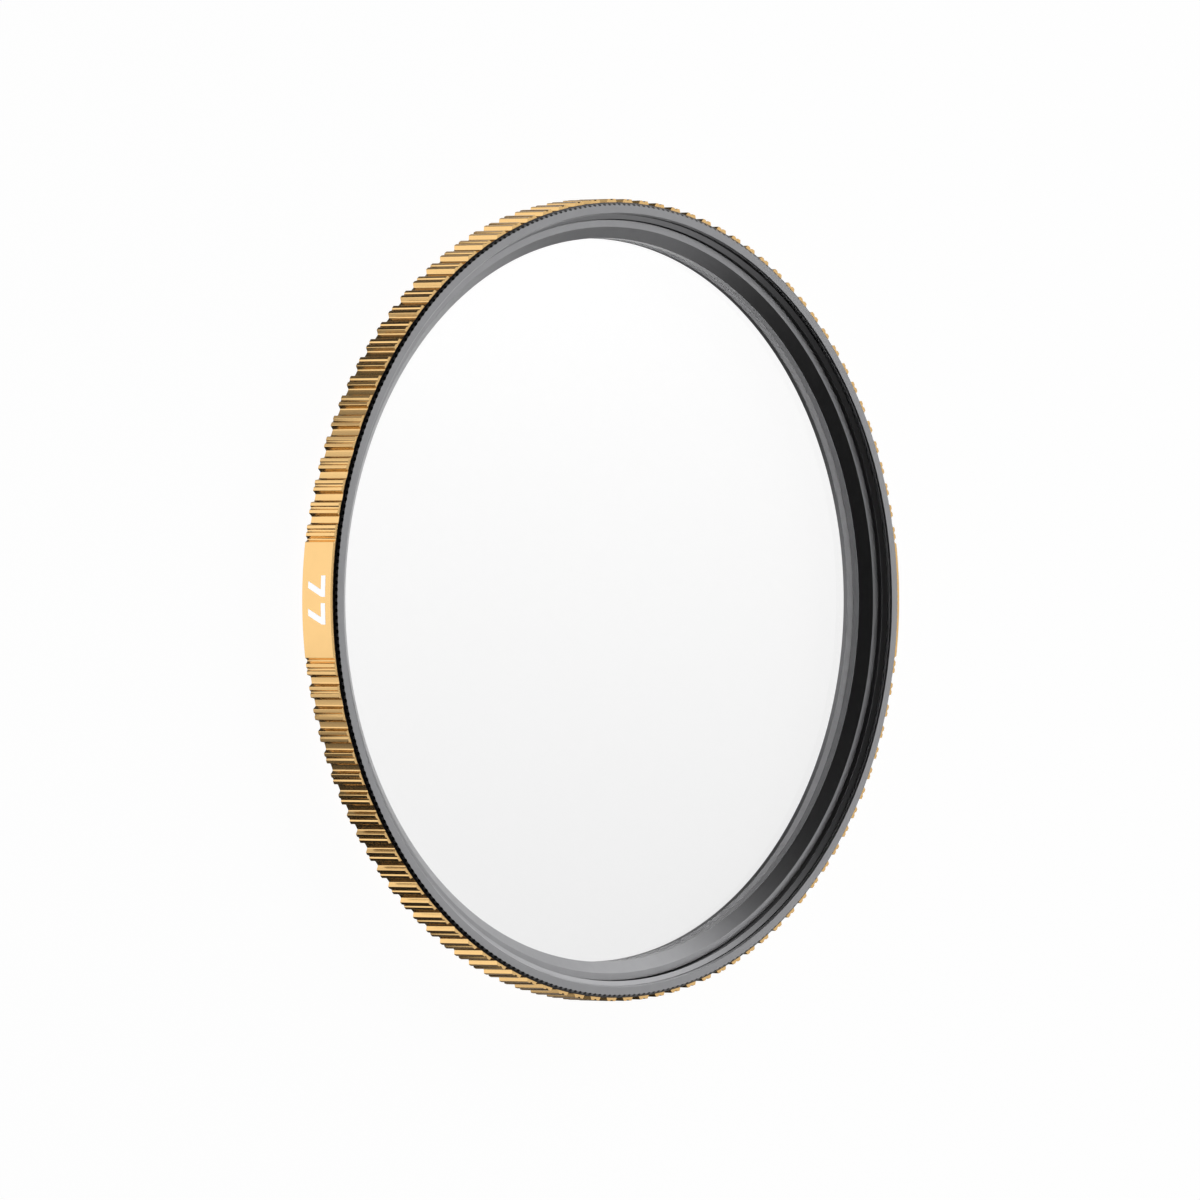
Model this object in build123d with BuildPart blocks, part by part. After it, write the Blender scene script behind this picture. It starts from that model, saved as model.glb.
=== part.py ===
from build123d import *
import os
from math import cos, degrees, radians, sin

# Screw-in lens filter, lying on its thread end with its front face up.
# Millimetres, +Z along the optical axis, origin at the middle of the thread end.

# Lens thread, the size that the filter is sold by
thread_diameter = 77.0
thread_pitch = 0.75
thread_length = 1.5         # from the shoulder to the thread's end
thread_lead_in = 0.25
relief_width = 0.3          # undercut between the thread and the shoulder
relief_rise = 0.1           # depth of the undercut in the shoulder's own face

# Fits
fit_clearance = 0.05        # radial gap of every piece that screws or drops into another
end_clearance = 0.05        # axial gap behind a ring that seats on another face

# Brass frame
grip_wall = 1.0             # from the frame's bore out to the tips of the knurl
web_thickness = 0.7         # floor between the grip and the lens thread
thread_wall = 0.85

# Knurl: teeth with a notched crest between round scallops, and two smooth patches
teeth_per_side = 50
patch_pitches = 5           # pitches that each smooth patch takes up
scallop_opening = 1.2
scallop_depth = 0.45
scallop_floor_width = 0.6   # round floor between the scallop's straight flanks
scallop_floor_rise = 0.09
notch_width = 0.42
notch_depth = 0.12
patch_groove_depth = 0.25

# Black front ring
front_thread_length = 1.09
front_thread_gap = 0.1      # from the retaining ring's face to the end of the front thread
mouth_chamfer = 0.15
barrel_wall = 0.5           # from the front thread out to the frame's bore
nose_wall = 0.5             # round the glass, inside the lens thread
pocket_floor = 0.5          # between the barrel's end and the rim of the glass pocket
flange_thickness = 0.35
flange_setback = 0.35       # from the knurl's tips in to the flange's edge
flange_bevel = 0.25
lip_width = 0.85            # seat under the glass
lip_thickness = 0.57

# Glass and its retaining ring
glass_thickness = 1.5
glass_edge_chamfer = 0.15
ring_step = 0.45            # from the front thread in to the retaining ring's own thread
ring_land = 0.79            # straight inner wall above the glass
ring_bevel_height = 0.94
ring_bevel_width = 1.12

# A metric thread's depth, from its pitch
thread_depth = 0.6134 * thread_pitch

# Radii, from the lens thread inwards
thread_radius = thread_diameter / 2
relief_radius = thread_radius - thread_depth
relief_outer_radius = thread_radius + fit_clearance
frame_inner_radius = thread_radius - thread_wall
nose_radius = frame_inner_radius - fit_clearance
pocket_radius = nose_radius - nose_wall
glass_radius = pocket_radius - fit_clearance
aperture_radius = glass_radius - lip_width

# Radii of the front thread, which takes a lens thread of the same size, and of what lies round it
front_thread_radius = thread_radius + fit_clearance
ring_seat_radius = front_thread_radius - ring_step
ring_radius = ring_seat_radius - fit_clearance
barrel_radius = front_thread_radius + barrel_wall
frame_bore_radius = barrel_radius + fit_clearance
grip_radius = frame_bore_radius + grip_wall
flange_radius = grip_radius - flange_setback

# Heights, from the thread end up
shoulder_z = thread_length
web_top_z = shoulder_z + web_thickness
barrel_end_z = web_top_z + end_clearance
pocket_rim_z = barrel_end_z + pocket_floor
glass_top_z = pocket_rim_z + end_clearance
ring_edge_z = glass_top_z + ring_land
ring_top_z = ring_edge_z + ring_bevel_height
front_thread_z = ring_top_z + front_thread_gap
runout_z = front_thread_z - ring_step
mouth_z = front_thread_z + front_thread_length
front_z = mouth_z + mouth_chamfer
frame_top_z = front_z - flange_thickness
seat_z = glass_top_z - glass_thickness
lip_end_z = seat_z - lip_thickness

# Angles of the knurl in degrees
pitch_angle = 180 / (teeth_per_side + patch_pitches)
patch_half_angle = patch_pitches * pitch_angle / 2
scallop_angle = degrees(scallop_opening / grip_radius)
floor_angle = degrees(scallop_floor_width / grip_radius)
notch_angle = degrees(notch_width / grip_radius)
groove_angle = scallop_angle / 2
crest_angle = pitch_angle - scallop_angle
scallops_per_side = teeth_per_side - 1


def rim_point(radius, angle):
    """Point at a radius and an angle in degrees, counted from the middle of the first patch."""
    return (radius * sin(radians(angle)), -radius * cos(radians(angle)))


def rim_arc(start, stop, dip=0):
    """Arc between two points of the grip's rim whose middle lies dip inside the rim."""
    middle = rim_point(grip_radius - dip, (start + stop) / 2)
    ThreePointArc(rim_point(grip_radius, start), middle, rim_point(grip_radius, stop))


# Stretches of the knurl's outline, each drawn about the middle of the first patch
with BuildLine() as patch:
    rim_arc(-patch_half_angle - groove_angle, -patch_half_angle, patch_groove_depth)
    rim_arc(-patch_half_angle, patch_half_angle)
    rim_arc(patch_half_angle, patch_half_angle + groove_angle, patch_groove_depth)

with BuildLine() as crest:
    Polyline(
        rim_point(grip_radius, -crest_angle / 2),
        rim_point(grip_radius, -notch_angle / 2),
        rim_point(grip_radius - notch_depth, 0),
        rim_point(grip_radius, notch_angle / 2),
        rim_point(grip_radius, crest_angle / 2),
    )

with BuildLine() as scallop:
    floor_start = rim_point(grip_radius - scallop_depth + scallop_floor_rise, -floor_angle / 2)
    floor_middle = rim_point(grip_radius - scallop_depth, 0)
    floor_stop = rim_point(grip_radius - scallop_depth + scallop_floor_rise, floor_angle / 2)
    Line(rim_point(grip_radius, -scallop_angle / 2), floor_start)
    ThreePointArc(floor_start, floor_middle, floor_stop)
    Line(floor_stop, rim_point(grip_radius, scallop_angle / 2))

# Brass frame: lens thread, knurled grip, and in one cut the stepped bore and the thread's undercut
with BuildPart() as knurled_brass_frame:
    with BuildSketch(Plane.XZ):
        with BuildLine():
            Polyline(
                (0, 0),
                (thread_radius - thread_lead_in, 0),
                (thread_radius, thread_lead_in),
                (thread_radius, shoulder_z),
                (0, shoulder_z),
                close=True,
            )
        make_face()
    revolve(axis=Axis.Z)
    with BuildSketch(Plane.XY.offset(shoulder_z)):
        with BuildLine():
            with PolarLocations(0, 2):
                add(patch.line)
            for side_angle in (0, 180):
                first_tooth = side_angle + patch_half_angle + pitch_angle / 2
                first_scallop = first_tooth + pitch_angle / 2
                with PolarLocations(0, teeth_per_side, first_tooth, teeth_per_side * pitch_angle):
                    add(crest.line)
                with PolarLocations(0, scallops_per_side, first_scallop, scallops_per_side * pitch_angle):
                    add(scallop.line)
        make_face()
    extrude(amount=frame_top_z - shoulder_z)
    with BuildSketch(Plane.XZ):
        with BuildLine():
            Polyline(
                (0, 0),
                (frame_inner_radius, 0),
                (frame_inner_radius, web_top_z),
                (frame_bore_radius, web_top_z),
                (frame_bore_radius, frame_top_z),
                (0, frame_top_z),
                close=True,
            )
        make_face()
        with BuildLine():
            Polyline(
                (relief_radius, shoulder_z - relief_width),
                (relief_outer_radius, shoulder_z - relief_width),
                (relief_outer_radius, shoulder_z + relief_rise),
                (relief_radius, shoulder_z + relief_rise),
                close=True,
            )
        make_face()
    revolve(axis=Axis.Z, mode=Mode.SUBTRACT)

# Black front ring: bevelled flange, front thread with its run-out, glass pocket and the lip under the glass
with BuildPart() as black_front_ring:
    with BuildSketch(Plane.XZ):
        with BuildLine():
            Polyline(
                (aperture_radius, lip_end_z),
                (nose_radius, lip_end_z),
                (nose_radius, barrel_end_z),
                (barrel_radius, barrel_end_z),
                (barrel_radius, frame_top_z),
                (flange_radius, frame_top_z),
                (flange_radius - flange_bevel, front_z),
                (front_thread_radius + mouth_chamfer, front_z),
                (front_thread_radius, mouth_z),
                (front_thread_radius, front_thread_z),
                (ring_seat_radius, runout_z),
                (ring_seat_radius, pocket_rim_z),
                (pocket_radius, pocket_rim_z),
                (pocket_radius, seat_z),
                (aperture_radius, seat_z),
                close=True,
            )
        make_face()
    revolve(axis=Axis.Z)

# Retaining ring: screws in behind the front thread and bears on the glass
with BuildPart() as glass_retaining_ring:
    with BuildSketch(Plane.XZ):
        with BuildLine():
            Polyline(
                (aperture_radius, glass_top_z),
                (ring_radius, glass_top_z),
                (ring_radius, ring_top_z),
                (aperture_radius + ring_bevel_width, ring_top_z),
                (aperture_radius, ring_edge_z),
                close=True,
            )
        make_face()
    revolve(axis=Axis.Z)

# Clear glass on the lip's seat
with BuildPart() as filter_glass:
    with BuildSketch(Plane.XY.offset(seat_z)):
        Circle(glass_radius)
    extrude(amount=glass_thickness)
    chamfer(edges(), glass_edge_chamfer)

knurled_brass_frame.part.label = "knurled_brass_frame"
black_front_ring.part.label = "black_front_ring"
glass_retaining_ring.part.label = "glass_retaining_ring"
filter_glass.part.label = "filter_glass"

os.makedirs("parts", exist_ok=True)
for piece in (knurled_brass_frame, black_front_ring, glass_retaining_ring, filter_glass):
    export_step(piece.part, f"parts/{piece.part.label}.step")
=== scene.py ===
"""Looks of a screw-in lens filter: knurled brass frame, black rings, clear glass and a printed thread size.

The sizes of the pieces are in millimetres, and those of the studio round them in metres where it says so.
"""

import logging
import math
from dataclasses import dataclass, field
from enum import Enum
from typing import Any, Optional, Sequence

import bmesh
import bpy
from mathutils import Matrix, Vector


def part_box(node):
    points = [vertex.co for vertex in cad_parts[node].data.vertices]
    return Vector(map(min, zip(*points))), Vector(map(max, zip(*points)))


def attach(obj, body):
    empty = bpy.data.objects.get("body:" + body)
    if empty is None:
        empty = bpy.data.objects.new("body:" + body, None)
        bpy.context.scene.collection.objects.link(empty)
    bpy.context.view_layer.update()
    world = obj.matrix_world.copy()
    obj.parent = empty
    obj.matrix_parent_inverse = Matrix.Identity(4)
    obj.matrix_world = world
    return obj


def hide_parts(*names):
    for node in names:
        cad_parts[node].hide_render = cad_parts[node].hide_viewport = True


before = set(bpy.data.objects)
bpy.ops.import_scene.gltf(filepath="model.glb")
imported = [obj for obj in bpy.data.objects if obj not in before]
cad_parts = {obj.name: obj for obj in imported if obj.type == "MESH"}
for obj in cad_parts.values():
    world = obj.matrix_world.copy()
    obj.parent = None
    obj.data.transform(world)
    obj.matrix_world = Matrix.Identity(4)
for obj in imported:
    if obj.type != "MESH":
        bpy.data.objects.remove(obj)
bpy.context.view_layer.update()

log = logging.getLogger("lens_filter")

MM = 0.001
BODY = "root"
# name of the face attribute that carries painted shade, which darkens a face's colour where light falls less
PAINTED_SHADE = "shade"
LARGEST_REACH = 0.48  # share of the shorter side that a rounded corner may take up
SAME_RADIUS = 0.001
THREAD_DEPTH_SHARE = 0.6134  # depth of a metric thread, as a share of its pitch
THREAD_CREST_SHARE = 1 / 8
THREAD_FLANK = math.radians(30)

Colour = tuple[float, float, float]
SectionPoint = tuple[float, float]
RimPoint = tuple[float, float, float]


class PackedNode(Enum):
    """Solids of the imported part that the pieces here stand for."""

    FRAME = "knurled_brass_frame"
    FRONT_RING = "black_front_ring"
    RETAINING_RING = "glass_retaining_ring"
    GLASS = "filter_glass"


class Piece(Enum):
    """Objects that the part is shown by."""

    FRAME = "brass_grip_frame"
    FRONT_RING = "black_serrated_ring"
    RETAINING_RING = "bevelled_retaining_ring"
    GLASS = "clear_filter_glass"
    PRINT = "thread_size_print"


class Slot(Enum):
    """Material slots of the part's record."""

    BRASS = "brass"
    BLACK = "black_anodised"
    GLASS = "clear_glass"


class ThreadSide(Enum):
    """Way that a thread's ridge stands from its wall."""

    MALE = 1
    FEMALE = -1


@dataclass(frozen=True)
class NodeBox:
    """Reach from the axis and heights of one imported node, in millimetres."""

    reach: float
    bottom: float
    top: float

    @classmethod
    def of(cls, node: PackedNode) -> "NodeBox":
        """Reads a node's box.

        Args:
            node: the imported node.

        Returns:
            Its reach and heights.
        """
        low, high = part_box(node.value)
        reach = max(-low.x, -low.y, high.x, high.y)
        return cls(reach / MM, low.z / MM, high.z / MM)


@dataclass(frozen=True)
class Corner:
    """Corner of an outline in millimetres, with the radius of its edge break."""

    across: float
    up: float
    round: float = 0.0


def rounded(corners: Sequence[Corner], closed: bool, steps: int = 4) -> list[SectionPoint]:
    """Rounds the corners of an outline.

    Args:
        corners: the outline's corners in order.
        closed: whether the last corner joins the first.
        steps: points that a rounded corner gets, less one.

    Returns:
        The outline's points.
    """
    points: list[SectionPoint] = []
    last = len(corners) - 1
    for place, corner in enumerate(corners):
        here = Vector((corner.across, corner.up))
        if not corner.round or (not closed and place in (0, last)):
            points.append((here.x, here.y))
            continue
        before = corners[place - 1]
        after = corners[(place + 1) % len(corners)]
        to_before = Vector((before.across, before.up)) - here
        to_after = Vector((after.across, after.up)) - here
        half_angle = to_before.angle(to_after) / 2
        shorter = min(to_before.length, to_after.length)
        reach = min(corner.round / math.tan(half_angle), LARGEST_REACH * shorter)
        start = here + to_before.normalized() * reach
        stop = here + to_after.normalized() * reach
        for step in range(steps + 1):
            share = step / steps
            bend = start.lerp(here, share).lerp(here.lerp(stop, share), share)
            points.append((bend.x, bend.y))
    return points


def rim_vector(angle: float, radius: float, height: float) -> Vector:
    """Places a point of the rim.

    Args:
        angle: radians counter-clockwise from the middle of the front patch, which lies towards -Y.
        radius: millimetres from the axis.
        height: millimetres above the thread end.

    Returns:
        The point in metres.
    """
    return Vector((radius * math.sin(angle), -radius * math.cos(angle), height)) * MM


@dataclass
class Row:
    """Points across a wedge of a ring, and the painted shade of the faces between them and the next row.

    The points are (angle, radius, height), and the painted shade runs from 0 to 1, one value for each face.
    """

    points: list[RimPoint]
    painted_shades: Sequence[float] = ()


def cell_object(name: str, rows: Sequence[Row], closed: bool) -> bpy.types.Object:
    """Skins the rows of one cell, a wedge of a ring.

    Args:
        name: name of the helper object.
        rows: rows in order round the ring's section.
        closed: whether the last row joins the first.

    Returns:
        The cell, which shows nothing by itself.
    """
    shape = bmesh.new()
    # each face keeps its row's painted shade
    layer = shape.faces.layers.float.new(PAINTED_SHADE)
    skins = [[shape.verts.new(rim_vector(*point)) for point in row.points] for row in rows]
    following = skins[1:] + skins[:1] if closed else skins[1:]
    for row, near, far in zip(rows, skins, following):
        if len(near) != len(far):
            shape.faces.new([*near, *reversed(far)])
            continue
        for place in range(len(near) - 1):
            face = shape.faces.new((near[place], near[place + 1], far[place + 1], far[place]))
            face[layer] = row.painted_shades[place] if row.painted_shades else 0.0
    mesh = bpy.data.meshes.new(name)
    shape.to_mesh(mesh)
    shape.free()
    return bpy.data.objects.new(name, mesh)


def turned_rows(
    outline: Sequence[SectionPoint], half_angle: float, wall_painted_shades: Optional[dict[float, float]] = None
) -> list[Row]:
    """Gives the rows of a turned wedge.

    Args:
        outline: points of the section.
        half_angle: half of the wedge's angle in radians.
        wall_painted_shades: painted shade of straight walls, by their radius.

    Returns:
        A row for each point.
    """
    rows = []
    for place, (radius, height) in enumerate(outline):
        following = outline[(place + 1) % len(outline)][0]
        # a straight wall listed here gets painted shade on its faces
        shade = 0.0
        for wall, wall_painted_shade in (wall_painted_shades or {}).items():
            if max(abs(radius - wall), abs(following - wall)) < SAME_RADIUS:
                shade = wall_painted_shade
        rows.append(Row([(way * half_angle, radius, height) for way in (-1, 1)], (shade,)))
    return rows


class Wiring:
    """Adds nodes to a node tree and wires their inputs."""

    def __init__(self, tree: bpy.types.NodeTree) -> None:
        """Keeps the tree that the nodes go into."""
        self.tree = tree

    @staticmethod
    def pick(sockets: Any, key: Any) -> bpy.types.NodeSocket:
        """Finds a socket.

        Args:
            sockets: a node's inputs or outputs.
            key: the socket's place, identifier or name.

        Returns:
            The socket.
        """
        if isinstance(key, int):
            return sockets[key]
        by_identifier = [socket for socket in sockets if socket.identifier == key]
        return by_identifier[0] if by_identifier else sockets[key]

    def add(self, kind: str, inputs: Optional[dict[Any, Any]] = None, **settings: Any) -> bpy.types.Node:
        """Adds one node.

        Args:
            kind: Blender's name for the type of node.
            inputs: values, or the outputs to link, by each input's place, identifier or name.
            settings: the node's own settings.

        Returns:
            The new node.
        """
        node = self.tree.nodes.new(kind)
        for name, value in settings.items():
            setattr(node, name, value)
        for key, value in (inputs or {}).items():
            socket = self.pick(node.inputs, key)
            if isinstance(value, bpy.types.NodeSocket):
                self.tree.links.new(value, socket)
            else:
                socket.default_value = value
        return node

    def math(self, operation: str, first: Any, second: Any = 0.0, third: Any = 0.0) -> bpy.types.NodeSocket:
        """Adds a Math node.

        Args:
            operation: Blender's name for the sum.
            first: first value or output.
            second: second value or output.
            third: third value or output.

        Returns:
            The node's output.
        """
        inputs = {0: first, 1: second, 2: third}
        return self.add("ShaderNodeMath", inputs, operation=operation).outputs[0]

    def noise(self, place: bpy.types.NodeSocket, scale: float, detail: float) -> bpy.types.NodeSocket:
        """Adds a noise texture.

        Args:
            place: output with the coordinates.
            scale: marks per unit of the coordinates.
            detail: number of finer layers.

        Returns:
            The noise's value.
        """
        inputs = {"Vector": place, "Scale": scale, "Detail": detail}
        return self.add("ShaderNodeTexNoise", inputs).outputs[0]


class NodeTool:
    """A Geometry Nodes tree with named inputs, used as a modifier."""

    def __init__(self, name: str, inputs: dict[str, str]) -> None:
        """Makes the tree's interface.

        Args:
            name: the tree's name.
            inputs: socket types by the inputs' names.
        """
        self.tree = bpy.data.node_groups.new(name, "GeometryNodeTree")
        self.wiring = Wiring(self.tree)
        interface = self.tree.interface
        interface.new_socket("Geometry", in_out="OUTPUT", socket_type="NodeSocketGeometry")
        self.identifiers = {
            label: interface.new_socket(label, in_out="INPUT", socket_type=kind).identifier
            for label, kind in {"Geometry": "NodeSocketGeometry", **inputs}.items()
        }
        self.given = self.wiring.add("NodeGroupInput").outputs

    def close(self, made: bpy.types.NodeSocket, weld: float) -> None:
        """Ends the tree: what it made joins what came in, welded and dressed.

        Args:
            made: output with the new geometry.
            weld: distance in metres within which points are merged.
        """
        add = self.wiring.add
        joined = add("GeometryNodeJoinGeometry", {"Geometry": made})
        self.tree.links.new(self.given["Geometry"], joined.inputs["Geometry"])
        plain = add("GeometryNodeRealizeInstances", {"Geometry": joined.outputs[0]})
        welded = add("GeometryNodeMergeByDistance", {"Geometry": plain.outputs[0], "Distance": weld})
        smooth = add("GeometryNodeSetShadeSmooth", {"Geometry": welded.outputs[0]})
        dressed = add(
            "GeometryNodeSetMaterial",
            {"Geometry": smooth.outputs[0], "Material": self.given["Material"]},
        )
        add("NodeGroupOutput", {"Geometry": dressed.outputs[0]})

    def apply(self, host: bpy.types.Object, **values: Any) -> None:
        """Adds the tree to an object.

        Args:
            host: the object.
            values: the tree's inputs, by name with underscores for spaces.
        """
        modifier = host.modifiers.new(self.tree.name, "NODES")
        modifier.node_group = self.tree
        for name, value in values.items():
            modifier[self.identifiers[name.replace("_", " ").title()]] = value


class PolarArray(NodeTool):
    """Sets copies of a cell round the axis."""

    weld = 0.0005

    def __init__(self) -> None:
        """Builds the tree."""
        super().__init__("polar_array", {
            "Cell": "NodeSocketObject",
            "Count": "NodeSocketInt",
            "Step": "NodeSocketFloat",
            "First": "NodeSocketFloat",
            "Material": "NodeSocketMaterial",
        })
        add, given = self.wiring.add, self.given
        points = add("GeometryNodeMeshLine", {"Count": given["Count"], "Offset": (0, 0, 0)})
        index = add("GeometryNodeInputIndex").outputs[0]
        angle = self.wiring.math("MULTIPLY_ADD", index, given["Step"], given["First"])
        turn = add("FunctionNodeAxisAngleToRotation", {"Axis": (0, 0, 1), "Angle": angle})
        cell = add("GeometryNodeObjectInfo", {"Object": given["Cell"]}, transform_space="ORIGINAL")
        copies = add("GeometryNodeInstanceOnPoints", {
            "Points": points.outputs["Mesh"],
            "Instance": cell.outputs["Geometry"],
            "Rotation": turn.outputs[0],
        })
        self.close(copies.outputs[0], self.weld * MM)

    def all_round(
        self, host: bpy.types.Object, cell: bpy.types.Object, count: int, material: bpy.types.Material
    ) -> None:
        """Fills the whole turn with copies of one cell.

        Args:
            host: the object that gets them.
            cell: a wedge of the right angle.
            count: number of wedges in a turn.
            material: their finish.
        """
        self.apply(host, cell=cell, count=count, step=2 * math.pi / count, first=0.0, material=material)


class ThreadRidge(NodeTool):
    """Winds the ridge of a thread round the axis, fading at both ends."""

    points_per_turn = 160
    fade_share = 0.1
    least_fade = 0.02
    lift_share = 0.45
    weld = 0.00005

    def __init__(self) -> None:
        """Builds the tree."""
        super().__init__("thread_ridge", {
            "Radius": "NodeSocketFloat",
            "Pitch": "NodeSocketFloat",
            "Turns": "NodeSocketFloat",
            "Start": "NodeSocketFloat",
            "Angle": "NodeSocketFloat",
            "Depth": "NodeSocketFloat",
            "Root": "NodeSocketFloat",
            "Crest": "NodeSocketFloat",
            "Side": "NodeSocketFloat",
            "Material": "NodeSocketMaterial",
        })
        add, given, sums = self.wiring.add, self.given, self.wiring.math
        helix = add("GeometryNodeCurveSpiral", {
            "Resolution": self.points_per_turn,
            "Rotations": given["Turns"],
            "Start Radius": given["Radius"],
            "End Radius": given["Radius"],
            "Height": sums("MULTIPLY", given["Turns"], given["Pitch"]),
        })
        start = add("ShaderNodeCombineXYZ", {"Z": given["Start"]})
        swing = add("ShaderNodeCombineXYZ", {"Z": given["Angle"]})
        raised = add("GeometryNodeTransform", {
            "Geometry": helix.outputs[0],
            "Translation": start.outputs[0],
            "Rotation": swing.outputs[0],
        })
        upright = add("GeometryNodeSetCurveNormal", {"Curve": raised.outputs[0]}, mode="Z_UP")
        along = add("GeometryNodeSplineParameter").outputs["Factor"]
        to_end = sums("MINIMUM", along, sums("SUBTRACT", 1.0, along))
        fade = sums("MINIMUM", 1.0, sums("ADD", sums("DIVIDE", to_end, self.fade_share), self.least_fade))
        faded = add("GeometryNodeSetCurveRadius", {"Curve": upright.outputs[0], "Radius": fade})
        section = add("GeometryNodeCurvePrimitiveQuadrilateral", {
            "Height": given["Depth"],
            "Bottom Width": given["Root"],
            "Top Width": given["Crest"],
            "Offset": 0.0,
        }, mode="TRAPEZOID")
        lift = add("ShaderNodeCombineXYZ", {"Y": sums("MULTIPLY", given["Depth"], self.lift_share)})
        seated = add("GeometryNodeTransform", {
            "Geometry": section.outputs[0],
            "Translation": lift.outputs[0],
        })
        quarter = sums("MULTIPLY", given["Side"], math.pi / 2)
        turn = add("ShaderNodeCombineXYZ", {"Z": quarter})
        turned = add("GeometryNodeTransform", {
            "Geometry": seated.outputs[0],
            "Rotation": turn.outputs[0],
        })
        ridge = add("GeometryNodeCurveToMesh", {
            "Curve": faded.outputs[0],
            "Profile Curve": turned.outputs[0],
            "Fill Caps": True,
        })
        scale = ridge.inputs.get("Scale")
        if scale is not None:
            self.tree.links.new(fade, scale)
        self.close(ridge.outputs[0], self.weld * MM)

    def wind(
        self, host: bpy.types.Object, side: ThreadSide, radius: float, pitch: float, depth: float,
        start: float, length: float, angle: float, material: bpy.types.Material,
    ) -> None:
        """Winds a metric thread's ridge on an object.

        Args:
            host: the object.
            side: way that the ridge stands from its wall.
            radius: the wall's radius.
            pitch: the thread's pitch.
            depth: the ridge's depth.
            start: height at which it starts.
            length: height that it climbs.
            angle: radians at which it starts.
            material: its finish.
        """
        crest = pitch * THREAD_CREST_SHARE
        root = crest + 2 * depth * math.tan(THREAD_FLANK)
        self.apply(
            host,
            radius=radius * MM,
            pitch=pitch * MM,
            turns=length / pitch,
            start=start * MM,
            angle=angle,
            depth=depth * MM,
            root=root * MM,
            crest=crest * MM,
            side=float(side.value),
            material=material,
        )


def empty_host(piece: Piece) -> bpy.types.Object:
    """Makes an object with an empty mesh in the scene.

    Args:
        piece: the piece that it is for.

    Returns:
        The object.
    """
    host = bpy.data.objects.new(piece.value, bpy.data.meshes.new(piece.value))
    bpy.context.scene.collection.objects.link(host)
    return host


def make_plain(host: bpy.types.Object) -> None:
    """Turns an object's modifiers into its mesh, and removes them.

    Args:
        host: the object.
    """
    graph = bpy.context.evaluated_depsgraph_get()
    mesh = bpy.data.meshes.new_from_object(host.evaluated_get(graph), depsgraph=graph)
    mesh.name = host.name
    host.modifiers.clear()
    host.data = mesh


def settle(host: bpy.types.Object, sharp_angle: float = 30.0) -> None:
    """Turns a built piece into a plain mesh with outward faces and clean edges.

    Args:
        host: the piece, with its modifiers.
        sharp_angle: degrees from which an edge stays sharp.
    """
    make_plain(host)
    shape = bmesh.new()
    shape.from_mesh(host.data)
    bmesh.ops.recalc_face_normals(shape, faces=shape.faces)
    shape.to_mesh(host.data)
    shape.free()
    host.data.set_sharp_from_angle(angle=math.radians(sharp_angle))
    weighted = host.modifiers.new("weighted_normals", "WEIGHTED_NORMAL")
    weighted.keep_sharp = True
    make_plain(host)


def hand_over(piece: bpy.types.Object, node: Optional[PackedNode]) -> None:
    """Lets a finished piece ride on the part and stand for its solid.

    Args:
        piece: the finished piece.
        node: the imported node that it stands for.
    """
    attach(piece, BODY)
    if node:
        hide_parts(node.value)
    piece.data.calc_loop_triangles()
    log.info("%s: %d triangles", piece.name, len(piece.data.loop_triangles))


class TurnedCoordinates:
    """Object coordinates in millimetres, with the distance from the axis."""

    def __init__(self, wiring: Wiring) -> None:
        """Adds the nodes that the finishes read.

        Args:
            wiring: the material's wiring.
        """
        add = wiring.add
        metres = add("ShaderNodeTexCoord").outputs["Object"]
        self.place = add("ShaderNodeVectorMath", {0: metres, "Scale": 1 / MM}, operation="SCALE").outputs[0]
        flat = add("ShaderNodeVectorMath", {0: self.place, 1: (1, 1, 0)}, operation="MULTIPLY").outputs[0]
        self.radius = add("ShaderNodeVectorMath", {0: flat}, operation="LENGTH").outputs["Value"]
        self.height = add("ShaderNodeSeparateXYZ", {0: self.place}).outputs["Z"]
        self.lathe = add("ShaderNodeCombineXYZ", {"X": self.radius, "Y": self.height}).outputs[0]


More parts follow.
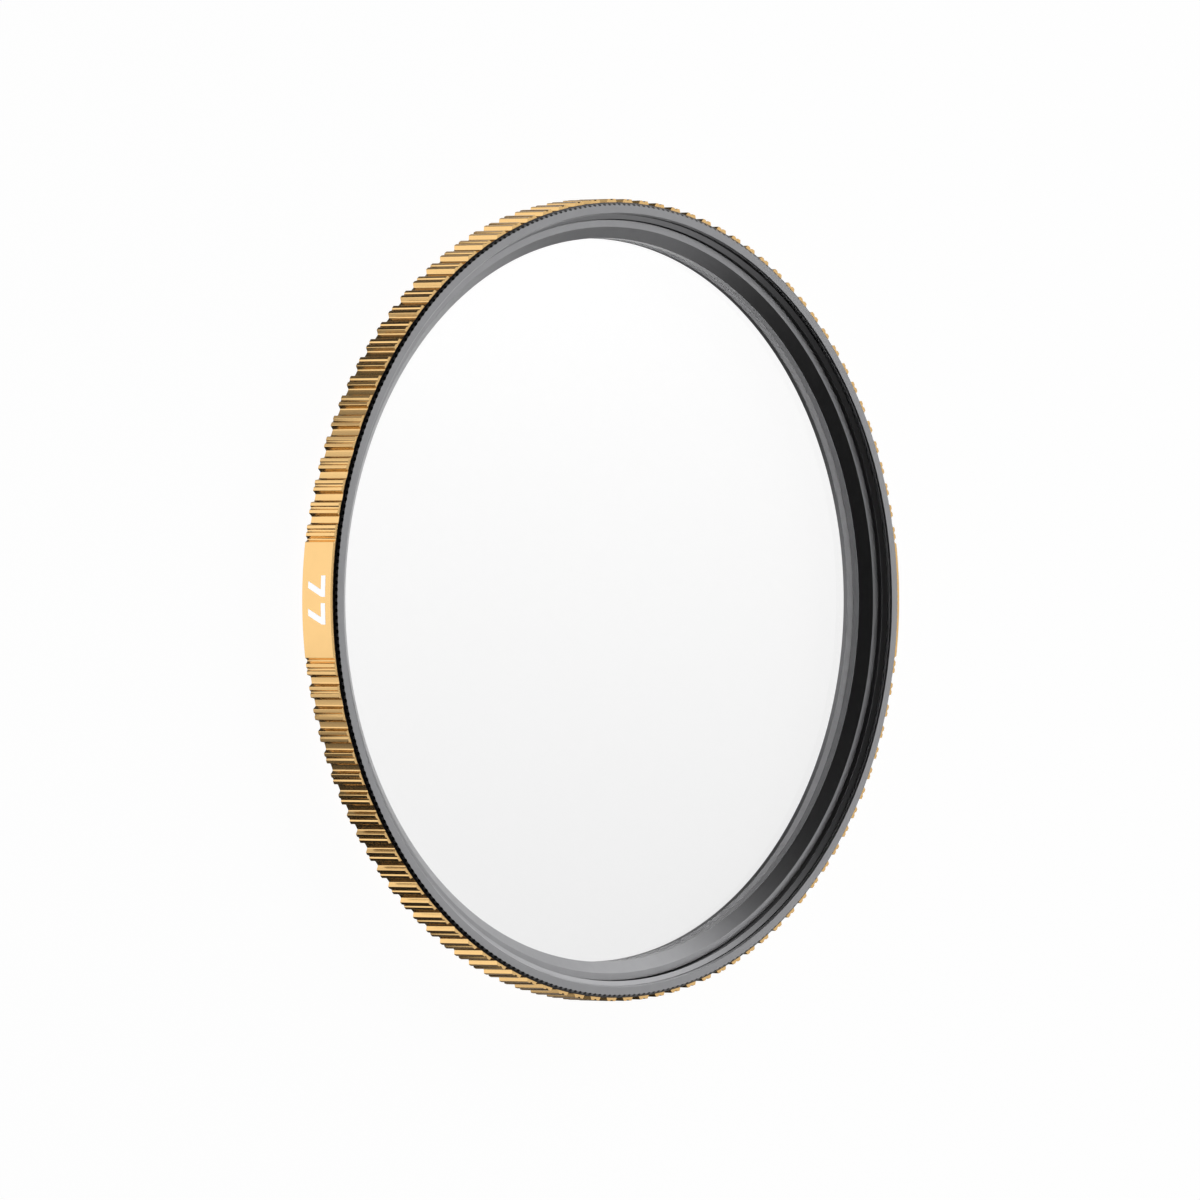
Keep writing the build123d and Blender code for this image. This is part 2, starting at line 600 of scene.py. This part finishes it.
@dataclass(frozen=True)
class MetalFinish:
    """A metal with uneven tone, fine grain and turning marks.

    Scales are marks per millimetre. Faces that carry painted shade go towards the painted shade colour, if
    there is one.
    """

    name: str
    colour: Colour
    roughness: float
    tone_scale: float
    tone_spread: float
    grain_scale: float
    turning_scale: float
    roughness_spread: float
    bump: float
    bump_distance: float = 0.01
    tone_detail: float = 3.0
    grain_detail: float = 4.0
    turning_detail: float = 2.0
    painted_shade_colour: Optional[Colour] = None

    def material(self) -> bpy.types.Material:
        """Builds the material.

        Returns:
            The material.
        """
        material = bpy.data.materials.new(self.name)
        material.use_nodes = True
        wiring = Wiring(material.node_tree)
        add, sums = wiring.add, wiring.math
        shader = material.node_tree.nodes["Principled BSDF"]
        links = material.node_tree.links
        at = TurnedCoordinates(wiring)

        tone = add("ShaderNodeMix", {
            "Factor_Float": wiring.noise(at.place, self.tone_scale, self.tone_detail),
            "A_Color": (*(part * (1 - self.tone_spread) for part in self.colour), 1),
            "B_Color": (*(part * (1 + self.tone_spread) for part in self.colour), 1),
        }, data_type="RGBA")
        base = wiring.pick(tone.outputs, "Result_Color")
        # painted shade: the face attribute mixes the base colour towards the painted shade colour
        if self.painted_shade_colour:
            shade = add("ShaderNodeAttribute", attribute_name=PAINTED_SHADE)
            shaded = add("ShaderNodeMix", {
                "Factor_Float": shade.outputs["Fac"],
                "A_Color": base,
                "B_Color": (*self.painted_shade_colour, 1),
            }, data_type="RGBA")
            base = wiring.pick(shaded.outputs, "Result_Color")
        links.new(base, shader.inputs["Base Color"])

        grain = wiring.noise(at.place, self.grain_scale, self.grain_detail)
        turning = wiring.noise(at.lathe, self.turning_scale, self.turning_detail)
        marks = sums("ADD", grain, turning)
        spread = sums("MULTIPLY_ADD", marks, self.roughness_spread, self.roughness - self.roughness_spread)
        links.new(spread, shader.inputs["Roughness"])
        bump = add("ShaderNodeBump", {
            "Height": marks,
            "Strength": self.bump,
            "Distance": self.bump_distance * MM,
        })
        links.new(bump.outputs[0], shader.inputs["Normal"])
        shader.inputs["Metallic"].default_value = 1.0
        return material


@dataclass(frozen=True)
class GlassFinish:
    """Clear optical glass."""

    name: str = "clear_glass"
    ior: float = 1.458

    def material(self) -> bpy.types.Material:
        """Builds the material.

        Returns:
            The material.
        """
        material = bpy.data.materials.new(self.name)
        material.use_nodes = True
        shader = material.node_tree.nodes["Principled BSDF"]
        shader.inputs["Base Color"].default_value = (1, 1, 1, 1)
        shader.inputs["Roughness"].default_value = 0.0
        shader.inputs["IOR"].default_value = self.ior
        shader.inputs["Transmission Weight"].default_value = 1.0
        return material


@dataclass(frozen=True)
class PrintFinish:
    """White screen print with a slightly uneven surface."""

    name: str = "white_print"
    colour: Colour = (0.93, 0.94, 0.95)
    roughness: float = 0.5
    grain_scale: float = 12.0
    grain_detail: float = 3.0
    bump: float = 0.1
    bump_distance: float = 0.01

    def material(self) -> bpy.types.Material:
        """Builds the material.

        Returns:
            The material.
        """
        material = bpy.data.materials.new(self.name)
        material.use_nodes = True
        wiring = Wiring(material.node_tree)
        shader = material.node_tree.nodes["Principled BSDF"]
        at = TurnedCoordinates(wiring)
        bump = wiring.add("ShaderNodeBump", {
            "Height": wiring.noise(at.place, self.grain_scale, self.grain_detail),
            "Strength": self.bump,
            "Distance": self.bump_distance * MM,
        })
        material.node_tree.links.new(bump.outputs[0], shader.inputs["Normal"])
        shader.inputs["Base Color"].default_value = (*self.colour, 1)
        shader.inputs["Roughness"].default_value = self.roughness
        return material


@dataclass
class KnurledFrame:
    """Brass frame: lens thread, web and a grip knurled between two smooth patches."""

    material: bpy.types.Material
    box: NodeBox = field(default_factory=lambda: NodeBox.of(PackedNode.FRAME))
    teeth_per_side: int = 50
    patch_pitches: int = 5
    scallop_opening: float = 1.2
    scallop_depth: float = 0.45
    floor_width: float = 0.74
    floor_round: float = 0.2
    notch_width: float = 0.42
    notch_floor: float = 0.18
    notch_depth: float = 0.12
    crest_round: float = 0.08
    notch_round: float = 0.05
    patch_round: float = 0.05
    patch_points: int = 8
    groove_depth: float = 0.25
    groove_points: int = 4
    edge_break: float = 0.006
    least_break: float = 0.004
    break_middle: float = 0.29
    tooth_steps: int = 4
    patch_steps: int = 28
    wall: float = 1.0
    web: float = 0.7
    shoulder: float = 1.5
    thread_wall: float = 0.85
    thread_radius: float = 38.5
    thread_pitch: float = 0.75
    thread_lead_in: float = 0.25
    thread_run_out: float = 0.2
    inner_break: float = 0.05

    @property
    def pitch(self) -> float:
        """Length of one pitch along the rim."""
        return math.pi * self.box.reach / (self.teeth_per_side + self.patch_pitches)

    @property
    def thread_depth(self) -> float:
        """Depth of a metric thread of this pitch."""
        return THREAD_DEPTH_SHARE * self.thread_pitch

    def crest(self, middle: float) -> list[Corner]:
        """Gives the crest of one tooth, with its notch.

        Args:
            middle: the tooth's place along the rim.

        Returns:
            Corners by place along the rim and depth under it.
        """
        half = (self.pitch - self.scallop_opening) / 2
        notch = self.notch_width / 2
        floor = self.notch_floor / 2
        return [
            Corner(middle - half, 0, self.crest_round),
            Corner(middle - notch, 0, self.notch_round),
            Corner(middle - floor, self.notch_depth, self.notch_round),
            Corner(middle + floor, self.notch_depth, self.notch_round),
            Corner(middle + notch, 0, self.notch_round),
            Corner(middle + half, 0, self.crest_round),
        ]

    def half_floor(self, middle: float, way: int) -> list[Corner]:
        """Gives half of a scallop's floor, with its rounded corner.

        Args:
            middle: the scallop's middle along the rim.
            way: 1 for the half after the middle, and -1 for the half before it.

        Returns:
            Corners in order along the rim.
        """
        half = self.floor_width / 2
        corners = [
            Corner(middle, self.scallop_depth),
            Corner(middle + way * half, self.scallop_depth, self.floor_round),
        ]
        return corners[::way]

    def groove(self, start: float, stop: float) -> list[Corner]:
        """Gives the round groove beside a patch.

        Args:
            start: where it starts along the rim.
            stop: where it ends.

        Returns:
            Corners inside the groove's two ends.
        """
        shares = [step / (self.groove_points + 1) for step in range(1, self.groove_points + 1)]
        return [
            Corner(start + (stop - start) * share, self.groove_depth * 4 * share * (1 - share))
            for share in shares
        ]

    def tooth_outline(self) -> list[SectionPoint]:
        """Gives one tooth between the middles of its two scallops.

        Returns:
            Points by place along the rim and depth under it.
        """
        half = self.pitch / 2
        corners = [*self.half_floor(-half, 1), *self.crest(0), *self.half_floor(half, -1)]
        return rounded(corners, closed=False)

    def patch_outline(self) -> list[SectionPoint]:
        """Gives a smooth patch with its grooves and the tooth on each side of it.

        Returns:
            Points by place along the rim and depth under it.
        """
        tooth = (self.patch_pitches + 1) / 2 * self.pitch
        end = tooth + self.pitch / 2
        edge = self.patch_pitches / 2 * self.pitch
        groove_end = edge + self.scallop_opening / 2
        steps = self.patch_points * self.patch_pitches
        arc = [Corner(edge * (2 * step / steps - 1), 0, self.patch_round) for step in range(steps + 1)]
        corners = [
            *self.half_floor(-end, 1),
            *self.crest(-tooth),
            *self.groove(-groove_end, -edge),
            *arc,
            *self.groove(edge, groove_end),
            *self.crest(tooth),
            *self.half_floor(end, -1),
        ]
        return rounded(corners, closed=False)

    def inner_section(self) -> list[SectionPoint]:
        """Gives the section from the grip's front face through the bore to the shoulder.

        Returns:
            Points by radius and height.
        """
        bore = self.box.reach - self.wall
        inner = self.thread_radius - self.thread_wall
        core = self.thread_radius - self.thread_depth
        web_top = self.shoulder + self.web
        corners = [
            Corner(bore + self.inner_break, self.box.top),
            Corner(bore, self.box.top - self.inner_break),
            Corner(bore, web_top, self.inner_break),
            Corner(inner, web_top, self.inner_break),
            Corner(inner, self.box.bottom, self.inner_break),
            Corner(core, self.box.bottom, self.inner_break),
            Corner(core, self.shoulder),
        ]
        return rounded(corners, closed=False)

    def cell(self, name: str, outline: list[SectionPoint], steps: int) -> bpy.types.Object:
        """Makes a wedge of the frame.

        Args:
            name: the helper's name.
            outline: the wedge's outer outline along the rim and under it.
            steps: number of flat steps of the turned faces across the wedge.

        Returns:
            The wedge.
        """
        rim = self.box.reach
        middle = self.break_middle
        rows: list[Row] = []
        for edge, lift in ((self.shoulder, 1), (self.box.top, -1)):
            edge_rows = []
            for back, rise in ((1.0, 0.0), (middle, middle), (0.0, 1.0)):
                points = []
                for along, under in outline:
                    cut = max(self.least_break, self.edge_break - under)
                    points.append((along / rim, rim - under - cut * back, edge + lift * cut * rise))
                edge_rows.append(Row(points))
            rows.extend(edge_rows[::lift])
        first, last = outline[0][0] / rim, outline[-1][0] / rim
        angles = [first + (last - first) * step / steps for step in range(steps + 1)]
        for radius, height in self.inner_section():
            rows.append(Row([(angle, radius, height) for angle in angles]))
        return cell_object(name, rows, closed=True)

    def build(self, array: PolarArray, ridge: ThreadRidge) -> bpy.types.Object:
        """Builds the frame.

        Args:
            array: tool that sets cells round the axis.
            ridge: tool that winds a thread.

        Returns:
            The finished piece.
        """
        host = empty_host(Piece.FRAME)
        step = math.pi / (self.teeth_per_side + self.patch_pitches)
        tooth = self.cell("tooth_cell", self.tooth_outline(), self.tooth_steps)
        patch = self.cell("patch_cell", self.patch_outline(), self.patch_steps)
        first = (self.patch_pitches + 3) / 2 * step
        for side in (0.0, math.pi):
            array.apply(
                host,
                cell=tooth,
                count=self.teeth_per_side - 2,
                step=step,
                first=side + first,
                material=self.material,
            )
        array.apply(host, cell=patch, count=2, step=math.pi, first=0.0, material=self.material)
        ridge.wind(
            host,
            ThreadSide.MALE,
            radius=self.thread_radius - self.thread_depth,
            pitch=self.thread_pitch,
            depth=self.thread_depth,
            start=self.thread_lead_in,
            length=self.shoulder - self.thread_lead_in - self.thread_run_out,
            angle=0.0,
            material=self.material,
        )
        settle(host)
        for helper in (tooth, patch):
            bpy.data.objects.remove(helper)
        hand_over(host, PackedNode.FRAME)
        return host


@dataclass
class FrontRing:
    """Black front ring: serrated flange, front thread, glass pocket and the lip under the glass."""

    material: bpy.types.Material
    box: NodeBox = field(default_factory=lambda: NodeBox.of(PackedNode.FRONT_RING))
    grip: NodeBox = field(default_factory=lambda: NodeBox.of(PackedNode.FRAME))
    glass: NodeBox = field(default_factory=lambda: NodeBox.of(PackedNode.GLASS))
    ring: NodeBox = field(default_factory=lambda: NodeBox.of(PackedNode.RETAINING_RING))
    serrations: int = 360
    bevel: float = 0.27
    cut_depth: float = 0.06
    crest_share: float = 0.45
    foot_land: float = 0.04
    # painted shade, 0 to 1, darkening the black finish: the flange's wall and plain bevel, the V-cut facets
    # and crests of the serration, the thread wall and the lip's wall
    bevel_painted_shade: float = 0.78
    cut_painted_shade: float = 0.9
    crest_painted_shade: float = 0.3
    thread_painted_shade: float = 0.8
    lip_painted_shade: float = 0.6
    thread_radius: float = 38.55
    thread_pitch: float = 0.75
    thread_run_out: float = 0.3
    ridge_depth: float = 0.47
    mouth_chamfer: float = 0.15
    thread_gap: float = 0.1
    fit: float = 0.05
    end_gap: float = 0.05
    barrel_wall: float = 0.5
    barrel_end: float = 2.25
    nose_wall: float = 0.5
    lip_width: float = 0.85
    edge_break: float = 0.04

    def section(self) -> list[SectionPoint]:
        """Gives the turned section from the mouth through the pocket to the flange's underside.

        Returns:
            Points by radius and height.
        """
        seat = self.ring.reach + self.fit
        thread_foot = self.ring.top + self.thread_gap
        pocket = self.glass.reach + self.fit
        nose = pocket + self.nose_wall
        aperture = self.glass.reach - self.lip_width
        barrel = self.thread_radius + self.barrel_wall
        small = self.edge_break
        corners = [
            Corner(self.thread_radius + self.mouth_chamfer, self.box.top),
            Corner(self.thread_radius, self.box.top - self.mouth_chamfer, small),
            Corner(self.thread_radius, thread_foot, small),
            Corner(seat, thread_foot - self.thread_radius + seat, small),
            Corner(seat, self.glass.top - self.end_gap, small),
            Corner(pocket, self.glass.top - self.end_gap, small),
            Corner(pocket, self.glass.bottom, small),
            Corner(aperture, self.glass.bottom, small),
            Corner(aperture, self.box.bottom, small),
            Corner(nose, self.box.bottom, small),
            Corner(nose, self.barrel_end, small),
            Corner(barrel, self.barrel_end, small),
            Corner(barrel, self.grip.top),
        ]
        return rounded(corners, closed=False, steps=3)

    def cell(self) -> bpy.types.Object:
        """Makes the wedge with one crest of the flange's edge between two halves of a V cut.

        Returns:
            The wedge.
        """
        half = math.pi / self.serrations
        edge = self.box.reach
        foot, top = self.grip.top, self.box.top
        crest = self.crest_share
        ways = (-1.0, -crest, crest, 1.0)
        # the flange's rows carry painted shade: the plain bevel evenly, the V-cut facets darker than the
        # crests
        plain = (self.bevel_painted_shade,) * 3
        serration_painted_shades = (self.cut_painted_shade, self.crest_painted_shade, self.cut_painted_shade)
        land = foot + self.foot_land
        edges = (
            (edge, 0.0, foot, plain),
            (edge, 0.0, land, plain),
            (edge - self.bevel / 2, 0.0, (land + top) / 2, serration_painted_shades),
            (edge - self.bevel, self.cut_depth, top, ()),
        )
        # painted shade on the thread wall and on the lip's wall
        walls = {self.thread_radius: self.thread_painted_shade, self.glass.reach - self.lip_width: self.lip_painted_shade}
        rows = turned_rows(self.section(), half, walls)
        # the last item of each flange row is its painted shade
        for radius, depth, height, finish in edges:
            points = [(way * half, radius - depth * (abs(way) == 1.0), height) for way in ways]
            rows.append(Row(points, finish))
        return cell_object("serration_cell", rows, closed=True)

    def build(self, array: PolarArray, ridge: ThreadRidge) -> bpy.types.Object:
        """Builds the ring.

        Args:
            array: tool that sets cells round the axis.
            ridge: tool that winds a thread.

        Returns:
            The finished piece.
        """
        host = empty_host(Piece.FRONT_RING)
        cell = self.cell()
        array.all_round(host, cell, self.serrations, self.material)
        foot = self.ring.top + self.thread_gap
        mouth = self.box.top - self.mouth_chamfer
        ridge.wind(
            host,
            ThreadSide.FEMALE,
            radius=self.thread_radius,
            pitch=self.thread_pitch,
            depth=self.ridge_depth,
            start=foot,
            length=mouth - foot - self.thread_run_out,
            angle=-math.pi / 2,
            material=self.material,
        )
        settle(host)
        bpy.data.objects.remove(cell)
        hand_over(host, PackedNode.FRONT_RING)
        return host


@dataclass
class RetainingRing:
    """Black ring with a wide bevel that holds the glass down."""

    material: bpy.types.Material
    box: NodeBox = field(default_factory=lambda: NodeBox.of(PackedNode.RETAINING_RING))
    glass: NodeBox = field(default_factory=lambda: NodeBox.of(PackedNode.GLASS))
    lip_width: float = 0.85
    land: float = 0.79
    # painted shade that darkens the land, the ring's inner wall
    land_painted_shade: float = 0.72
    bevel_width: float = 1.12
    edge_break: float = 0.05
    least_break: float = 0.01
    steps: int = 300

    def build(self, array: PolarArray) -> bpy.types.Object:
        """Builds the ring.

        Args:
            array: tool that sets cells round the axis.

        Returns:
            The finished piece.
        """
        host = empty_host(Piece.RETAINING_RING)
        inner = self.glass.reach - self.lip_width
        outline = rounded([
            Corner(inner, self.box.bottom, self.least_break),
            Corner(self.box.reach, self.box.bottom, self.edge_break),
            Corner(self.box.reach, self.box.top, self.edge_break),
            Corner(inner + self.bevel_width, self.box.top, self.edge_break),
            Corner(inner, self.box.bottom + self.land, self.edge_break),
        ], closed=True)
        # the land gets painted shade
        rows = turned_rows(outline, math.pi / self.steps, {inner: self.land_painted_shade})
        cell = cell_object("retaining_cell", rows, closed=True)
        array.all_round(host, cell, self.steps, self.material)
        settle(host)
        bpy.data.objects.remove(cell)
        hand_over(host, PackedNode.RETAINING_RING)
        return host


@dataclass
class FilterGlass:
    """Clear disc with a chamfered edge, held a hair clear of its seat."""

    material: bpy.types.Material
    box: NodeBox = field(default_factory=lambda: NodeBox.of(PackedNode.GLASS))
    chamfer: float = 0.15
    hair: float = 0.005
    steps: int = 300

    def build(self, array: PolarArray) -> bpy.types.Object:
        """Builds the disc.

        Args:
            array: tool that sets cells round the axis.

        Returns:
            The finished piece.
        """
        host = empty_host(Piece.GLASS)
        top = self.box.top - self.hair
        bottom = self.box.bottom + self.hair
        edge = self.box.reach
        section = (
            (edge - self.chamfer, top),
            (edge, top - self.chamfer),
            (edge, bottom + self.chamfer),
            (edge - self.chamfer, bottom),
        )
        rows = turned_rows(section, math.pi / self.steps)
        middles = [Row([(0.0, 0.0, height)]) for height in (top, bottom)]
        cell = cell_object("glass_cell", [middles[0], *rows, middles[1]], closed=False)
        array.all_round(host, cell, self.steps, self.material)
        settle(host)
        host.visible_shadow = False
        bpy.data.objects.remove(cell)
        hand_over(host, PackedNode.GLASS)
        return host


@dataclass
class SizeMark:
    """The thread size, two plain figures printed on the front patch.

    The foot's place is a share of a figure's width, and the three sizes of the leg are shares of the stroke.
    """

    material: bpy.types.Material
    grip: NodeBox = field(default_factory=lambda: NodeBox.of(PackedNode.FRAME))
    figures: int = 2
    width: float = 2.1
    height: float = 2.4
    stroke: float = 0.6
    foot_place: float = 0.26
    leg_width: float = 1.15
    leg_inset: float = 1.2
    leg_drop: float = 0.85
    gap: float = 0.62
    middle: float = 3.55
    ink: float = 0.015
    slice_width: float = 0.3

    def figure(self) -> list[SectionPoint]:
        """Gives the outline of a plain seven.

        Returns:
            Points across and up from its lower left corner.
        """
        foot = self.foot_place * self.width
        return [
            (0.0, self.height),
            (0.0, self.height - self.stroke),
            (self.width - self.leg_inset * self.stroke, self.height - self.stroke),
            (foot, 0.0),
            (foot + self.leg_width * self.stroke, 0.0),
            (self.width, self.height - self.leg_drop * self.stroke),
            (self.width, self.height),
        ]

    def build(self) -> bpy.types.Object:
        """Builds the print, bent round the patch.

        Returns:
            The finished piece.
        """
        total = self.figures * self.width + (self.figures - 1) * self.gap
        shape = bmesh.new()
        for place in range(self.figures):
            left = place * (self.width + self.gap) - total / 2
            foot = self.middle - self.height / 2
            corners = [shape.verts.new((left + across, foot + up, 0)) for across, up in self.figure()]
            shape.faces.new(corners)
        for cut in range(1, int(total / self.slice_width)):
            geometry = [*shape.verts, *shape.edges, *shape.faces]
            at = (cut * self.slice_width - total / 2, 0, 0)
            bmesh.ops.bisect_plane(shape, geom=geometry, plane_co=at, plane_no=(1, 0, 0))
        raised = bmesh.ops.extrude_face_region(shape, geom=list(shape.faces))
        for corner in [item for item in raised["geom"] if isinstance(item, bmesh.types.BMVert)]:
            corner.co.z = self.ink
        for corner in shape.verts:
            along, up, out = corner.co
            corner.co = rim_vector(along / self.grip.reach, self.grip.reach + out, up)
        bmesh.ops.recalc_face_normals(shape, faces=shape.faces)
        host = empty_host(Piece.PRINT)
        shape.to_mesh(host.data)
        shape.free()
        host.data.materials.append(self.material)
        hand_over(host, None)
        return host


@dataclass(frozen=True)
class SoftLight:
    """A square softbox that looks at the filter. Its distance and size are in metres, its power in watts."""

    name: str
    towards: tuple[float, float, float]
    power: float
    distance: float = 1.2
    size: float = 0.9
    shadows: bool = True
    only: tuple[Piece, ...] = ()

    def build(self) -> None:
        """Adds the light to the scene, for all that is in it or only for some pieces."""
        data = bpy.data.lights.new(self.name, "AREA")
        data.shape = "SQUARE"
        data.size = self.size
        data.energy = self.power
        data.use_shadow = self.shadows
        data.cycles.use_multiple_importance_sampling = self.shadows
        light = bpy.data.objects.new(self.name, data)
        towards = Vector(self.towards).normalized()
        light.location = towards * self.distance
        light.rotation_euler = towards.to_track_quat("Z", "Y").to_euler()
        bpy.context.scene.collection.objects.link(light)
        if self.only:
            lit = bpy.data.collections.new(self.name + "_lights")
            for piece in self.only:
                lit.objects.link(bpy.data.objects[piece.value])
            light.light_linking.receiver_collection = lit


BEHIND = (0.05, 0.70, 0.72)


@dataclass
class Studio:
    """Pale floor, soft light and the camera.

    The floor's size and the camera's clip are in metres, and the card stops are degrees round the horizon
    from the front patch, each with a level.
    """

    front: NodeBox = field(default_factory=lambda: NodeBox.of(PackedNode.FRONT_RING))
    floor_size: float = 6.0
    floor_drop: float = 0.02
    floor_bounce: float = 0.12
    floor_white: float = 0.97
    # glow seen through the glass at -X and at +X: painted shade, darker towards +X
    through_glass_painted_shade: tuple[float, float] = (1.01, 0.83)
    glass_reach: float = 36.0
    mirror_gain: float = 0.55
    world_level: float = 0.018
    horizon_level: float = 0.45
    horizon_heights: tuple[float, float] = (-0.26, -0.38)
    card_level: float = 1.04
    card_stops: tuple[tuple[float, float], ...] = (
        (-180, 0.9), (-167, 0.85), (-150, 0.52), (-130, 0.45), (-98, 0.0), (-68, 0.03), (-30, 1.0),
        (13, 1.0), (51, 0.0), (108, 0.0), (140, 0.2), (155, 0.28), (170, 0.6), (180, 0.9),
    )
    reflections: int = 1
    tilt: float = 45.2
    lens: float = 498.0
    camera_distance: float = 1659.0
    shift_right: float = -2.213
    clip: tuple[float, float] = (0.01, 100.0)
    lights: tuple[SoftLight, ...] = (
        SoftLight("key_softbox", (-0.60, 0.72, 0.35), power=5.6, size=1.1),
        SoftLight("fill_softbox", (0.60, 0.72, 0.35), power=1.6, size=1.1),
        SoftLight("seat_softbox", BEHIND, power=2.1, shadows=False, only=(Piece.FRONT_RING,)),
        SoftLight("back_softbox", BEHIND, power=1.7, only=(Piece.FRAME, Piece.RETAINING_RING, Piece.GLASS)),
        SoftLight("lift_softbox", BEHIND, power=0.5, shadows=False, only=(Piece.RETAINING_RING,)),
        SoftLight("print_softbox", (0.0, -0.90, 0.40), 24.0, distance=1.4, size=0.8, only=(Piece.PRINT,)),
    )

    def floor(self) -> None:
        """Adds the floor, white to the eye and keeping the shadow. Through the glass its near-white glow
        carries painted shade, darker towards +X, and a painted reflection makes it brighter after a glossy
        bounce.
        """
        half = self.floor_size / 2
        height = -self.floor_drop * MM
        mesh = bpy.data.meshes.new("studio_floor")
        signs = ((-1, -1), (1, -1), (1, 1), (-1, 1))
        corners = [(half * across, half * along, height) for across, along in signs]
        mesh.from_pydata(corners, [], [(0, 1, 2, 3)])
        material = bpy.data.materials.new("pale_floor")
        material.use_nodes = True
        tree = material.node_tree
        tree.nodes.clear()
        wiring = Wiring(tree)
        add, sums = wiring.add, wiring.math
        rays = add("ShaderNodeLightPath").outputs
        at = TurnedCoordinates(wiring)
        across = add("ShaderNodeSeparateXYZ", {0: at.place}).outputs["X"]
        # painted shade under the glass: the glow seen through it falls along X
        through = add("ShaderNodeMapRange", {
            "Value": across,
            "From Min": -self.glass_reach,
            "From Max": self.glass_reach,
            "To Min": self.through_glass_painted_shade[0],
            "To Max": self.through_glass_painted_shade[1],
        }).outputs[0]
        level = sums("MULTIPLY", rays["Is Camera Ray"], self.floor_white)
        mirrored = sums("MULTIPLY_ADD", rays["Glossy Depth"], self.mirror_gain, 1.0)
        through = sums("MULTIPLY", through, mirrored)
        level = sums("MULTIPLY_ADD", rays["Is Transmission Ray"], through, level)
        paper = add("ShaderNodeBsdfDiffuse", {"Color": (self.floor_bounce,) * 3 + (1,)}).outputs[0]
        glow = add("ShaderNodeEmission", {"Strength": level}).outputs[0]
        both = add("ShaderNodeAddShader", {0: paper, 1: glow}).outputs[0]
        add("ShaderNodeOutputMaterial", {"Surface": both})
        mesh.materials.append(material)
        floor = bpy.data.objects.new("studio_floor", mesh)
        floor.visible_glossy = False
        bpy.context.scene.collection.objects.link(floor)

    def world(self) -> None:
        """Sets the even light of the room, and the pale cards under the horizon that the metal reflects."""
        world = bpy.data.worlds.new("studio_room")
        world.use_nodes = True
        world.cycles.sampling_method = "NONE"
        wiring = Wiring(world.node_tree)
        add, sums = wiring.add, wiring.math
        axes = add("ShaderNodeSeparateXYZ", {0: add("ShaderNodeTexCoord").outputs["Generated"]}).outputs
        around = sums("ARCTAN2", axes["X"], sums("MULTIPLY", axes["Y"], -1.0))
        share = sums("MULTIPLY_ADD", around, 0.5 / math.pi, 0.5)
        cards = add("ShaderNodeValToRGB", {"Fac": share})
        ramp = cards.color_ramp
        ramp.interpolation = "EASE"
        while len(ramp.elements) < len(self.card_stops):
            ramp.elements.new(0.5)
        for element, (degrees, level) in zip(ramp.elements, self.card_stops):
            element.position = degrees / 360 + 0.5
            element.color = (level, level, level, 1)
        steep = add("ShaderNodeMapRange", {
            "Value": axes["Z"],
            "From Min": self.horizon_heights[0],
            "From Max": self.horizon_heights[1],
        }, interpolation_type="SMOOTHSTEP").outputs[0]
        card = sums("MULTIPLY", cards.outputs["Color"], self.card_level)
        above_card = sums("SUBTRACT", 1.0, steep)
        low = sums("MULTIPLY_ADD", card, steep, sums("MULTIPLY", above_card, self.horizon_level))
        below = sums("LESS_THAN", axes["Z"], 0.0)
        glossy = add("ShaderNodeLightPath").outputs["Is Glossy Ray"]
        level = sums("MULTIPLY_ADD", sums("MULTIPLY", below, glossy), low, self.world_level)
        background = world.node_tree.nodes["Background"]
        background.inputs["Color"].default_value = (1, 1, 1, 1)
        world.node_tree.links.new(level, background.inputs["Strength"])
        bpy.context.scene.world = world

    def camera(self) -> None:
        """Adds the camera, rolled so that the front patch is on the left."""
        tilt = math.radians(self.tilt)
        forward = Vector((0, math.cos(tilt), -math.sin(tilt)))
        right = Vector((0, math.sin(tilt), math.cos(tilt)))
        up = Vector((-1, 0, 0))
        aim = Vector((0, 0, self.front.top)) + right * self.shift_right
        data = bpy.data.cameras.new("photo_camera")
        data.lens = self.lens
        data.clip_start, data.clip_end = self.clip
        camera = bpy.data.objects.new("photo_camera", data)
        turn = Matrix((right, up, -forward)).transposed().to_4x4()
        camera.matrix_world = Matrix.Translation((aim - forward * self.camera_distance) * MM) @ turn
        bpy.context.scene.collection.objects.link(camera)
        bpy.context.scene.camera = camera

    def build(self) -> None:
        """Sets up the whole studio."""
        self.floor()
        self.world()
        self.camera()
        for light in self.lights:
            light.build()
        bpy.context.scene.cycles.glossy_bounces = self.reflections
        bpy.context.scene.view_settings.view_transform = "Standard"


BRASS = MetalFinish(
    name="turned_brass",
    colour=(0.97, 0.625, 0.265),
    roughness=0.25,
    tone_scale=0.6,
    tone_spread=0.03,
    grain_scale=9.0,
    turning_scale=16.0,
    roughness_spread=0.05,
    bump=0.05,
)

BLACK = MetalFinish(
    name="black_anodised",
    colour=(0.36, 0.36, 0.37),
    # the colour that painted shade darkens the black metal towards
    painted_shade_colour=(0.006, 0.006, 0.007),
    roughness=0.38,
    tone_scale=0.8,
    tone_spread=0.06,
    grain_scale=22.0,
    turning_scale=14.0,
    roughness_spread=0.06,
    bump=0.10,
)


def main() -> None:
    """Builds the filter's pieces and the studio round them."""
    logging.basicConfig(level=logging.INFO, format="%(name)s: %(message)s")
    array = PolarArray()
    ridge = ThreadRidge()
    brass = BRASS.material()
    black = BLACK.material()
    KnurledFrame(brass).build(array, ridge)
    FrontRing(black).build(array, ridge)
    RetainingRing(black).build(array)
    FilterGlass(GlassFinish().material()).build(array)
    SizeMark(PrintFinish().material()).build()
    Studio().build()


if __name__ == "__main__":
    main()
